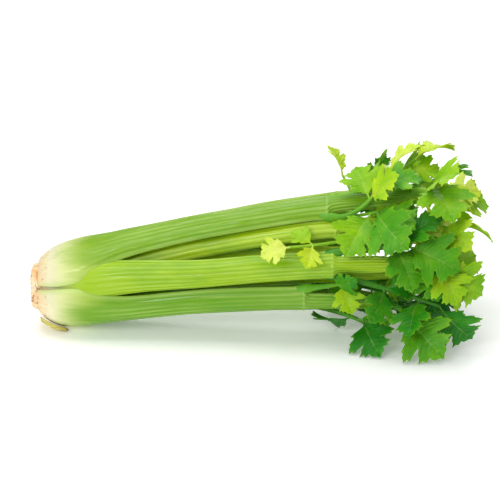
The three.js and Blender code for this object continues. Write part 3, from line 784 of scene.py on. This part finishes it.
BRANCHES = (
    Branch("outer_stalk_1", Side.HIGH, (262, -14, 44), 0.2, 2, 30, 0.5),
    Branch("outer_stalk_1", Side.LOW, (282, -52, 62), 1.5, 3, 44, 0.36),
    Branch("outer_stalk_1", Side.END, (316, -38, 64), 1.6, 3, 54, 0.3),
    Branch("outer_stalk_2", Side.LOW, (342, -24, 66), 0.6, 5, 46, 0.14),
    Branch("outer_stalk_2", Side.HIGH, (314, 25, 58), 0.3, 3, 52, 0.35),
    Branch("outer_stalk_2", Side.END, (340, 4, 54), 0.4, 5, 48, 0.5),
    Branch("outer_stalk_3", Side.LOW, (302, 64, 62), 0.5, 3, 42, 0.62),
    Branch("outer_stalk_3", Side.HIGH, (304, 96, 66), 0, 3, 44, 0.75),
    Branch("outer_stalk_3", Side.END, (336, 74, 64), 0.9, 3, 54, 0.72),
    Branch("outer_stalk_4", Side.LOW, (326, 112, 76), -0.5, 5, 44, 0.85),
    Branch("outer_stalk_4", Side.HIGH, (300, 150, 68), 0.3, 3, 44, 0.5),
    Branch("outer_stalk_4", Side.END, (338, 134, 64), 0.4, 3, 50, 0.55),
    Branch("outer_stalk_5", Side.LOW, (306, 178, 70), 0.8, 3, 46, 0.35),
    Branch("outer_stalk_5", Side.HIGH, (284, 208, 66), 1.1, 3, 46, 0.3),
    Branch("outer_stalk_5", Side.END, (338, 194, 60), 0.8, 3, 50, 0.4),
    Branch("outer_stalk_6", Side.LOW, (304, 240, 60), 0.5, 3, 42, 0.25),
    Branch("outer_stalk_6", Side.HIGH, (276, 292, 46), 0.3, 2, 34, 0.3),
    Branch("outer_stalk_6", Side.END, (334, 262, 48), 0.2, 3, 46, 0.2),
    Branch("inner_stalk_1", Side.HIGH, (286, 46, 65), 1.6, 3, 52, 0.6),
    Branch("inner_stalk_1", Side.LOW, (218, 29, 57), 0, 3, 28, 0.86),
    Branch("inner_stalk_1", Side.END, (350, 42, 48), 0.4, 5, 42, 0.95),
    Branch("inner_stalk_2", Side.LOW, (304, -34, 38), 0.5, 2, 34, 0.5),
    Branch("inner_stalk_2", Side.END, (350, -14, 34), 0.4, 3, 36, 0.55),
    Branch("inner_stalk_3", Side.LOW, (264, 108, 66), -2, 1, 32, 0.95),
    Branch("inner_stalk_3", Side.HIGH, (302, 124, 46), 0.2, 2, 36, 0.7),
    Branch("inner_stalk_3", Side.END, (352, 100, 42), 0.1, 3, 42, 0.8),
    Branch("inner_stalk_4", Side.HIGH, (286, 162, 46), 0.4, 2, 30, 0.6),
    Branch("inner_stalk_4", Side.END, (346, 156, 38), 0.3, 2, 40, 0.7),
    Branch("inner_stalk_5", Side.LOW, (318, 216, 42), 0.5, 2, 34, 0.5),
    Branch("inner_stalk_5", Side.END, (348, 232, 34), 0.3, 2, 40, 0.5),
    Branch("heart_stalk_1", Side.END, (334, 50, 22), 0, 3, 28, 0.95),
    Branch("heart_stalk_2", Side.END, (342, 160, 20), 0, 2, 26, 0.95),
    Branch("heart_stalk_3", Side.END, (338, 275, 20), 0, 2, 30, 0.95),
)


class Crowd:
    """Points that new growth keeps clear of."""

    def __init__(self) -> None:
        """Starts with none."""
        self.points = np.zeros((0, 3))
        self.radius = np.zeros(0)
        self.owner = np.zeros(0, int)

    def add(self, points: Array, radius: float, owner: int) -> None:
        """Adds points.

        Args:
            points: The points, shaped (count, 3).
            radius: How far each one reaches.
            owner: Whose they are.
        """
        self.points = np.concatenate([self.points, points])
        self.radius = np.concatenate([self.radius, np.full(len(points), float(radius))])
        self.owner = np.concatenate([self.owner, np.full(len(points), owner)])

    def near(self, centre: Array, reach: float, skip: int) -> "Crowd":
        """The part of the crowd round a place.

        Args:
            centre: The place.
            reach: How far off a point may lie.
            skip: The owner whose points are left out.

        Returns:
            A smaller crowd.
        """
        kept = (self.owner != skip) & (np.linalg.norm(self.points - centre, axis=1) < reach)
        part = Crowd()
        part.points, part.radius, part.owner = self.points[kept], self.radius[kept], self.owner[kept]
        return part

    def gap(self, points: Array, skip: int | None = None) -> float:
        """The distance from the nearest of some points to the nearest of the crowd, less its own reach.

        Args:
            points: The points, shaped (count, 3).
            skip: The owner whose points are left out.

        Returns:
            The gap, or infinity where nothing is there.
        """
        kept = slice(None) if skip is None else self.owner != skip
        others, radius = self.points[kept], self.radius[kept]
        if not len(others):
            return math.inf
        away = np.sqrt(((points[:, None] - others[None]) ** 2).sum(axis=-1))
        return float((away - radius).min())


def facing_frame(heading: Array, facing: Array) -> Frame:
    """Unit vectors ahead, beside and out of a leaflet's face, from a heading and a rough facing."""
    ahead = unit(heading)
    face = unit(facing - ahead * float(facing @ ahead))
    return ahead, np.cross(face, ahead), face


def turned(rest: Frame, swing: float, pitch: float, roll: float) -> Frame:
    """The frame swung about its face, pitched about its side and rolled about its heading."""
    ahead, beside, face = rest
    heading = ahead * math.cos(swing) + beside * math.sin(swing)
    side = beside * math.cos(swing) - ahead * math.sin(swing)
    up = face * math.cos(pitch) - heading * math.sin(pitch)
    return (
        heading * math.cos(pitch) + face * math.sin(pitch),
        side * math.cos(roll) + up * math.sin(roll),
        up * math.cos(roll) - side * math.sin(roll),
    )


@dataclass
class Foliage:
    """Finds each branch and leaflet its place, as the source does, by the same seeded draws."""

    seed: int = 1600
    tries: int = 140
    stalk_from: float = 200  # stalks are kept clear of from here on
    stalk_step: float = 6
    stem_gap: float = 2
    stem_stray: tuple[float, float, float] = (24, 40, 24)  # how widely its aim is drawn: along, turn and out
    stem_places: int = 12  # parts of a stem's line when distances are judged
    own_stalk_ease: float = 1
    leaf_gap: float = 6.5  # wanted distance between sampled points of different branches
    own_ease: float = -2  # leaflets of one branch may come this much nearer
    floor_gap: float = 0.4
    near_stem: int = 10  # a leaflet's first samples, which lie by its stem
    arch: float = math.radians(55)  # how far a leaflet's tip turns down
    least_arch: float = 0.6
    drawn_arch: float = 0.8
    least_size: float = 0.92
    drawn_size: float = 0.16
    leaf_spread: float = 0.3  # how much a leaflet heads away from the bunch
    leaf_tilt: float = 0.35  # how much its face turns up
    leaf_sink: float = 0.5  # it starts this share of the stem's radius inside it
    swing: float = math.radians(58)  # between a branch's end leaflet and its side ones
    leaf_turns: tuple[float, float, float] = (1.6, 1.6, 2)  # how widely swing, pitch and roll are drawn
    first_spread: float = 0.1
    last_spread: float = 1.3
    tone_change: float = 0.2

    def samples(self, leaf: Leaflet) -> Array:
        """Points spread over a leaflet, by which its distance from others is judged."""
        along = np.array([0.2, 0.32, 0.44, 0.56, 0.68, 0.8, 0.92, 1])
        width = np.where(along < 0.65, 0.08 + 0.66 * along, 1.36 * (1.02 - along))
        share = np.array([-1, -0.5, 0, 0.5, 1])
        places = np.broadcast_to(along[:, None], (len(along), len(share)))
        return leaf.point(places, width[:, None] * share).reshape(-1, 3)

    def grow(self) -> None:
        """Fills in the stems and the leaflets of all branches."""
        crowd = Crowd()
        for number, stalk in enumerate(STALKS):
            for x in np.arange(self.stalk_from, stalk.end + 1e-9, self.stalk_step):
                for u in (-1, -0.5, 0, 0.5, 1):
                    for side in (-1, 1):
                        crowd.add(stalk.point(x, u, side)[None], 0, 100 + number)
        for index, twig in enumerate(BRANCHES):
            self.lead(twig, index, crowd)
        for index, twig in enumerate(BRANCHES):
            self.leaf_out(twig, index, crowd)

    def lead(self, twig: Branch, index: int, crowd: Crowd) -> None:
        """Finds a branch's stem a clear way.

        Args:
            twig: The branch.
            index: Its number.
            crowd: What is in the way; the stem is added to it.
        """
        draw = Draws(self.seed + index)
        stalk = STALK_OF[twig.stalk]
        own = 100 + STALKS.index(stalk)
        twig.radius = twig.stem_share * float(through(stalk.whorl.half, stalk.joint))
        aim = twig.to
        best = -math.inf
        for i in range(self.tries):
            if best >= self.stem_gap:
                break
            spread = i / self.tries
            to = tuple(place + stray * spread * (draw() - 0.5) for place, stray in zip(aim, self.stem_stray))
            line = twig.stem(to, self.stem_places)
            clear = min(
                crowd.gap(line[3:], own) - twig.radius,
                crowd.gap(line[5:]) - twig.radius + self.own_stalk_ease,
            )
            if clear > best:
                best, twig.to, twig.line = clear, to, line
        crowd.add(twig.line, twig.radius, index)

    def leaf_out(self, twig: Branch, index: int, crowd: Crowd) -> None:
        """Finds each leaflet of a branch a clear place.

        Args:
            twig: The branch.
            index: Its number.
            crowd: What is in the way; the leaflets are added to it.
        """
        draw = Draws(self.seed + 1000 + index)
        own = Crowd()
        for place, side, share in twig.places[: twig.leaflets]:
            at = math.floor(self.stem_places * place + 0.5)
            base = twig.line[at]
            run = unit(twig.line[at] - twig.line[at - 1])
            away = unit(np.array([0, base[1], base[2] - float(through(AXIS_HEIGHT, base[0]))]))
            rest = facing_frame(run + self.leaf_spread * away - twig.hang * UP, away + self.leaf_tilt * UP)
            size = twig.size * share * (self.least_size + self.drawn_size * draw())
            arch = self.arch * (self.least_arch + self.drawn_arch * draw())
            root = base - self.leaf_sink * twig.radius * run
            leaf = Leaflet(root, *rest, size, arch, 6 * draw(), twig.tone)
            around = crowd.near(leaf.base, 1.6 * size + self.leaf_gap, index)
            best = -math.inf
            for i in range(self.tries):
                if best >= self.leaf_gap:
                    break
                spread = self.first_spread + self.last_spread * (i / self.tries)
                swing, pitch, roll = (spread * (draw() - 0.5) * width for width in self.leaf_turns)
                leaf.ahead, leaf.beside, leaf.face = turned(rest, self.swing * side + swing, pitch, roll)
                spots = self.samples(leaf)
                floor = float(spots[:, 2].min()) + self.leaf_gap - self.floor_gap
                clear = min(around.gap(spots), floor, own.gap(spots[self.near_stem :]))
                if clear > best:
                    best, kept, samples = clear, (leaf.ahead, leaf.beside, leaf.face), spots
            leaf.ahead, leaf.beside, leaf.face = kept
            leaf.tone = min(1.0, max(0.0, twig.tone + self.tone_change * math.sin(5 * leaf.phase + index)))
            twig.leaves.append(leaf)
            crowd.add(samples, 0, index)
            own.add(samples[self.near_stem :], self.own_ease, index)


def linear(hexed: str) -> tuple[float, float, float, float]:
    """A colour given as rrggbb, as Blender's linear red, green, blue and alpha."""
    parts = [int(hexed[k : k + 2], 16) / 255 for k in (0, 2, 4)]
    return (*(p / 12.92 if p <= 0.04045 else ((p + 0.055) / 1.055) ** 2.4 for p in parts), 1.0)


class Shader:
    """A material whose nodes are added and linked a line at a time."""

    def __init__(self, name: str) -> None:
        """Starts with a plain surface.

        Args:
            name: The material's name.
        """
        self.material = bpy.data.materials.new(name)
        self.material.use_nodes = True
        self.tree = self.material.node_tree
        self.surface = self.tree.nodes["Principled BSDF"]

    def add(self, kind: str, **inputs: object) -> bpy.types.Node:
        """Adds a node.

        Args:
            kind: Its type, without the leading ShaderNode.
            inputs: Sockets by name with spaces as underscores, or by number as i0, or settings of the node.

        Returns:
            The node.
        """
        node = self.tree.nodes.new(f"ShaderNode{kind}")
        for key, value in inputs.items():
            label = key.replace("_", " ").strip()
            if hasattr(node, key) and key not in node.inputs:
                setattr(node, key, value)
                continue
            numbered = label[0] == "i" and label[1:].isdigit()
            self.put(node.inputs[int(label[1:]) if numbered else label], value)
        return node

    def put(self, socket: bpy.types.NodeSocket, value: object) -> None:
        """Links a socket to another, or sets its value."""
        if isinstance(value, bpy.types.NodeSocket):
            self.tree.links.new(value, socket)
        else:
            socket.default_value = value

    def read(self, name: str) -> bpy.types.NodeSocket:
        """The value of a piece's own attribute."""
        return self.add("Attribute", attribute_name=name).outputs["Fac"]

    def place(self, stretch: tuple[float, float, float]) -> bpy.types.NodeSocket:
        """Object coordinates, stretched."""
        coordinates = self.add("TexCoord").outputs["Object"]
        return self.add("Mapping", Vector=coordinates, Scale=stretch).outputs["Vector"]

    def noise(
        self, stretch: tuple[float, float, float], scale: float, detail: float = 3
    ) -> bpy.types.NodeSocket:
        """Soft noise on stretched object coordinates."""
        return self.add("TexNoise", Vector=self.place(stretch), Scale=scale, Detail=detail).outputs["Fac"]

    def sum(self, operation: str, a: object, b: object) -> bpy.types.NodeSocket:
        """A sum of two values."""
        return self.add("Math", operation=operation, i0=a, i1=b).outputs[0]

    def step(
        self, value: object, low: float, high: float, start: float = 0.0, stop: float = 1.0
    ) -> bpy.types.NodeSocket:
        """A soft step from start at low to stop at high."""
        node = self.add("MapRange", interpolation_type="SMOOTHSTEP")
        for label, number in {"From Min": low, "From Max": high, "To Min": start, "To Max": stop}.items():
            node.inputs[label].default_value = number
        self.put(node.inputs["Value"], value)
        return node.outputs["Result"]

    def mix(self, share: object, a: object, b: object, blend: str = "MIX") -> bpy.types.NodeSocket:
        """Two colours mixed."""
        node = self.add("Mix", data_type="RGBA", blend_type=blend)
        for socket, value in ((node.inputs[0], share), (node.inputs[6], a), (node.inputs[7], b)):
            self.put(socket, value)
        return node.outputs[2]

    def ramp(self, value: object, *stops: tuple[float, str]) -> bpy.types.NodeSocket:
        """A run of colours."""
        node = self.add("ValToRGB", Fac=value)
        elements = node.color_ramp.elements
        while len(elements) < len(stops):
            elements.new(1)
        for element, (position, hexed) in zip(elements, stops, strict=True):
            element.position = position
            element.color = linear(hexed)
        return node.outputs["Color"]

    def bump(
        self, height: object, distance: float, strength: float = 1.0, under: object = None
    ) -> bpy.types.NodeSocket:
        """A normal tilted by a height."""
        node = self.add("Bump", Height=height, Distance=distance, Strength=strength)
        if under is not None:
            self.put(node.inputs["Normal"], under)
        return node.outputs["Normal"]

    def finish(self, colour: object, roughness: object, normal: object) -> bpy.types.Material:
        """Links the surface and returns the material."""
        self.put(self.surface.inputs["Base Color"], colour)
        self.put(self.surface.inputs["Roughness"], roughness)
        self.put(self.surface.inputs["Normal"], normal)
        return self.material


@dataclass
class StalkFinish:
    """Wet ribbed stalk: ivory at the bulb, running up into green along its back, with painted highlights and
    shade.
    """

    root_x: float
    flesh: float = 0.18
    made: bpy.types.Material | None = None

    def material(self) -> bpy.types.Material:
        """The material, made once."""
        if self.made is not None:
            return self.made
        s = Shader("stalk")
        x = s.add("SeparateXYZ", Vector=s.add("TexCoord").outputs["Object"]).outputs["X"]
        along = s.sum("MULTIPLY", s.sum("SUBTRACT", x, self.root_x), 1000.0)
        streak = s.noise((0.02, 1, 1), 170)
        patch = s.noise((0.35, 1, 1), 34)
        across = s.sum("POWER", s.read("across"), 1.6)
        drawn = s.sum("SUBTRACT", along, s.sum("MULTIPLY", across, 26.0))
        drawn = s.sum("ADD", drawn, s.sum("MULTIPLY", s.sum("SUBTRACT", streak, 0.5), 34.0))
        pale = s.ramp(
            s.step(along, 0, 60),
            (0.0, "e8b878"), (0.06, "eed6a4"), (0.2, "ebe6c0"), (0.5, "dde49c"), (1.0, "c0d850"),
        )
        tone = s.read("tone")
        green = s.ramp(
            tone,
            (0.0, "4a9000"), (0.35, "6ea400"), (0.5, "88b000"), (0.75, "a2c800"), (1.0, "c0d828"),
        )
        colour = s.mix(s.step(drawn, 14, 54), pale, green)
        # a paler green, used for painted highlight on ridges and edges, and also on the joint fold, on random
        # patches and on the channel side
        light = s.mix(0.6, green, linear("d6f08c"))
        # ridge crests paler in streaks: partly the paler ribs themselves, partly a painted highlight
        ridge_pale_and_highlight = s.sum("MULTIPLY", s.step(s.read("crest"), 0.4, 1), s.step(streak, 0.42, 0.66))
        colour = s.mix(s.sum("MULTIPLY", ridge_pale_and_highlight, s.step(along, 40, 100, 0, 0.42)), colour, light)
        # painted highlight along both edges of the stalk's back
        rim = s.sum("MULTIPLY", s.step(s.read("across"), 0.8, 0.98), s.step(s.read("channel"), 0.9, 0.1))
        colour = s.mix(s.sum("MULTIPLY", rim, 0.55), colour, light)
        # a darker green laid on as painted shade, in the grooves and in patches along the stalk
        shade_green = s.mix(0.65, green, linear("2c9000"))
        # painted shade in the grooves between the ribs, growing along the stalk
        groove_shade = s.sum("MULTIPLY", s.step(s.read("crest"), 0.45, 0), s.step(along, 50, 110, 0, 0.4))
        colour = s.mix(groove_shade, colour, shade_green)
        shade = s.sum("MULTIPLY", s.step(patch, 0.52, 0.38), s.step(along, 45, 90, 0, 0.45))
        colour = s.mix(shade, colour, shade_green)
        joint = s.sum("MULTIPLY", s.read("fold"), s.step(s.read("channel"), 0.9, 0.1, 0, 0.3))
        colour = s.mix(joint, colour, light)
        colour = s.mix(s.step(patch, 0.5, 0.75, 0, 0.15), colour, light)
        colour = s.mix(s.sum("MULTIPLY", s.read("channel"), s.step(along, 40, 90, 0, 0.35)), colour, light)
        spots = s.sum("MULTIPLY", s.step(s.noise((1, 1, 1), 260, 4), 0.6, 0.72), s.step(along, 20, 7))
        colour = s.mix(spots, colour, linear("a8682c"))
        fibre = s.bump(s.noise((0.03, 1, 1), 900, 2), 0.0003, 0.35)
        normal = s.bump(s.noise((0.4, 1, 1), 120), 0.0006, 0.35, fibre)
        s.surface.inputs["Subsurface Weight"].default_value = self.flesh
        s.surface.inputs["Subsurface Radius"].default_value = (0.004, 0.005, 0.0016)
        s.surface.inputs["Specular IOR Level"].default_value = 0.42
        self.made = s.finish(colour, s.step(streak, 0.35, 0.65, 0.2, 0.5), normal)
        return self.made


@dataclass(frozen=True)
class CrownFinish:
    """Sawn plant stem, dried to cream and tan with dark scars."""

    def material(self) -> bpy.types.Material:
        """The material."""
        s = Shader("crown")
        broad = s.noise((1, 1, 1), 70, 5)
        fine = s.noise((1, 1, 1), 300, 6)
        colour = s.ramp(broad, (0.34, "fdeaca"), (0.48, "f5d3a2"), (0.58, "e2a660"), (0.7, "b87030"))
        colour = s.mix(s.step(fine, 0.56, 0.66, 0, 0.8), colour, linear("9c5c24"))
        s.surface.inputs["Subsurface Weight"].default_value = 0.15
        s.surface.inputs["Subsurface Radius"].default_value = (0.004, 0.002, 0.001)
        return s.finish(colour, 0.6, s.bump(fine, 0.0012, 0.8))


@dataclass(frozen=True)
class StubFinish:
    """Dry torn stalk: straw and olive, browner to its torn end."""

    def material(self) -> bpy.types.Material:
        """The material."""
        s = Shader("dry_stub")
        grain = s.noise((0.15, 1, 1), 320, 4)
        colour = s.ramp(grain, (0.3, "e6dc90"), (0.5, "ccc45c"), (0.7, "a09c34"))
        colour = s.mix(s.step(s.read("torn"), 0.55, 1, 0, 0.6), colour, linear("9a7c2c"))
        return s.finish(colour, 0.65, s.bump(grain, 0.0008, 0.8))


@dataclass
class LeafFinish:
    """Thin leaf: green by its age, with paler veins and a soft sheen."""

    made: bpy.types.Material | None = None

    def material(self) -> bpy.types.Material:
        """The material, made once."""
        if self.made is not None:
            return self.made
        s = Shader("leaf")
        patch = s.noise((1, 1, 1), 55, 3)
        cells = s.noise((1, 1, 1), 420, 3)
        tone = s.sum("ADD", s.read("tone"), s.sum("MULTIPLY", s.sum("SUBTRACT", patch, 0.5), 0.5))
        blade = s.ramp(
            tone,
            (0.0, "046c00"), (0.22, "238a00"), (0.45, "5caa00"),
            (0.68, "98cc04"), (0.88, "cae424"), (1.0, "e0f068"),
        )
        vein = s.read("vein")
        colour = s.mix(s.step(vein, 0.35, 1, 0, 0.42), blade, s.mix(0.5, blade, linear("dcf08c")))
        colour = s.mix(s.step(s.read("rim"), 0.86, 1, 0, 0.25), colour, linear("b8d828"))
        colour = s.mix(s.step(cells, 0.35, 0.7, 0, 0.22), colour, s.mix(0.5, blade, linear("0c6a08")))
        s.surface.inputs["Subsurface Weight"].default_value = 0.45
        s.surface.inputs["Subsurface Radius"].default_value = (0.002, 0.003, 0.0006)
        s.surface.inputs["Specular IOR Level"].default_value = 0.3
        veins = s.bump(vein, 0.0006, 0.6)
        self.made = s.finish(colour, s.step(cells, 0.3, 0.8, 0.42, 0.58), s.bump(cells, 0.0005, 0.5, veins))
        return self.made


@dataclass(frozen=True)
class Studio:
    """A white table under soft light, seen from a little above."""

    elevation: float = 22
    aim: tuple[float, float, float] = (-0.0084, 0.0, 0.0669)
    distance: float = 1.4
    lens: float = 118.6
    glow: float = 0.2  # emission of the table: it glows though it is no lamp, which keeps it white and lights the head from below

    def floor(self) -> None:
        """Lays the floor."""
        bpy.ops.object.select_all(action="DESELECT")
        bpy.ops.mesh.primitive_plane_add(size=12, location=(0, 0, 0))
        floor = bpy.context.active_object
        floor.name = "white_table"
        s = Shader("white_table")
        colour = s.mix(s.step(s.noise((1, 1, 1), 4), 0.3, 0.7), linear("fbfbfa"), linear("f7f7f6"))
        # the table glows with its own emission, though it is no lamp
        s.surface.inputs["Emission Color"].default_value = (1, 1, 1, 1)
        s.surface.inputs["Emission Strength"].default_value = self.glow
        floor.data.materials.append(s.finish(colour, 0.45, s.bump(s.noise((1, 1, 1), 900), 0.00005, 0.1)))

    def lights(self) -> None:
        """Sets the lamps and the surrounding light."""
        for name, place, size, power, turn in (
            ("overhead", (-0.15, 0.1, 1.5), (1.3, 0.8), 12.5, (0, 0, 0)),
            ("front", (-0.9, -1.6, 1.2), (0.9, 0.7), 16, (math.radians(56), 0, math.radians(-28))),
            ("back", (0.4, 1.8, 1.1), (1.6, 0.5), 9, (math.radians(-62), 0, 0)),
        ):
            bpy.ops.object.light_add(type="AREA", location=place, rotation=turn)
            lamp = bpy.context.active_object
            lamp.name = name
            lamp.data.shape = "RECTANGLE"
            lamp.data.size, lamp.data.size_y = size
            lamp.data.energy = power
        world = bpy.data.worlds.new("white_room")
        world.use_nodes = True
        world.node_tree.nodes["Background"].inputs["Color"].default_value = (1, 1, 1, 1)
        world.node_tree.nodes["Background"].inputs["Strength"].default_value = 0.42
        bpy.context.scene.world = world
        bpy.context.scene.view_settings.view_transform = "Standard"

    def camera(self) -> None:
        """Sets the camera at the picture's viewing angle."""
        a = math.radians(self.elevation)
        x, y, z = self.aim
        place = (x, y - self.distance * math.cos(a), z + self.distance * math.sin(a))
        bpy.ops.object.camera_add(location=place, rotation=(math.radians(90 - self.elevation), 0, 0))
        camera = bpy.context.active_object
        camera.data.lens = self.lens
        camera.data.sensor_width = 36
        bpy.context.scene.camera = camera


def main() -> None:
    """Builds the head of celery and its studio."""
    logging.basicConfig(level=logging.INFO, format="%(message)s")
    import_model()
    crown = Crown()
    low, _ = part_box("crown")
    bench = Bench(np.array([-1000 * low.x, crown.front() - 1000 * low.y, 0]))
    stalks = StalkFinish(root_x=low.x)
    leaves = LeafFinish()
    Foliage().grow()
    crown.build(bench, CrownFinish())
    Stub().build(bench, StubFinish())
    for stalk in STALKS:
        stalk.build(bench, stalks, "outer_stalk" if stalk.name.startswith("outer") else "inner_stalk")
    for twig in BRANCHES:
        twig.build(bench, leaves)
    studio = Studio()
    studio.floor()
    studio.lights()
    studio.camera()


if __name__ == "__main__":
    main()
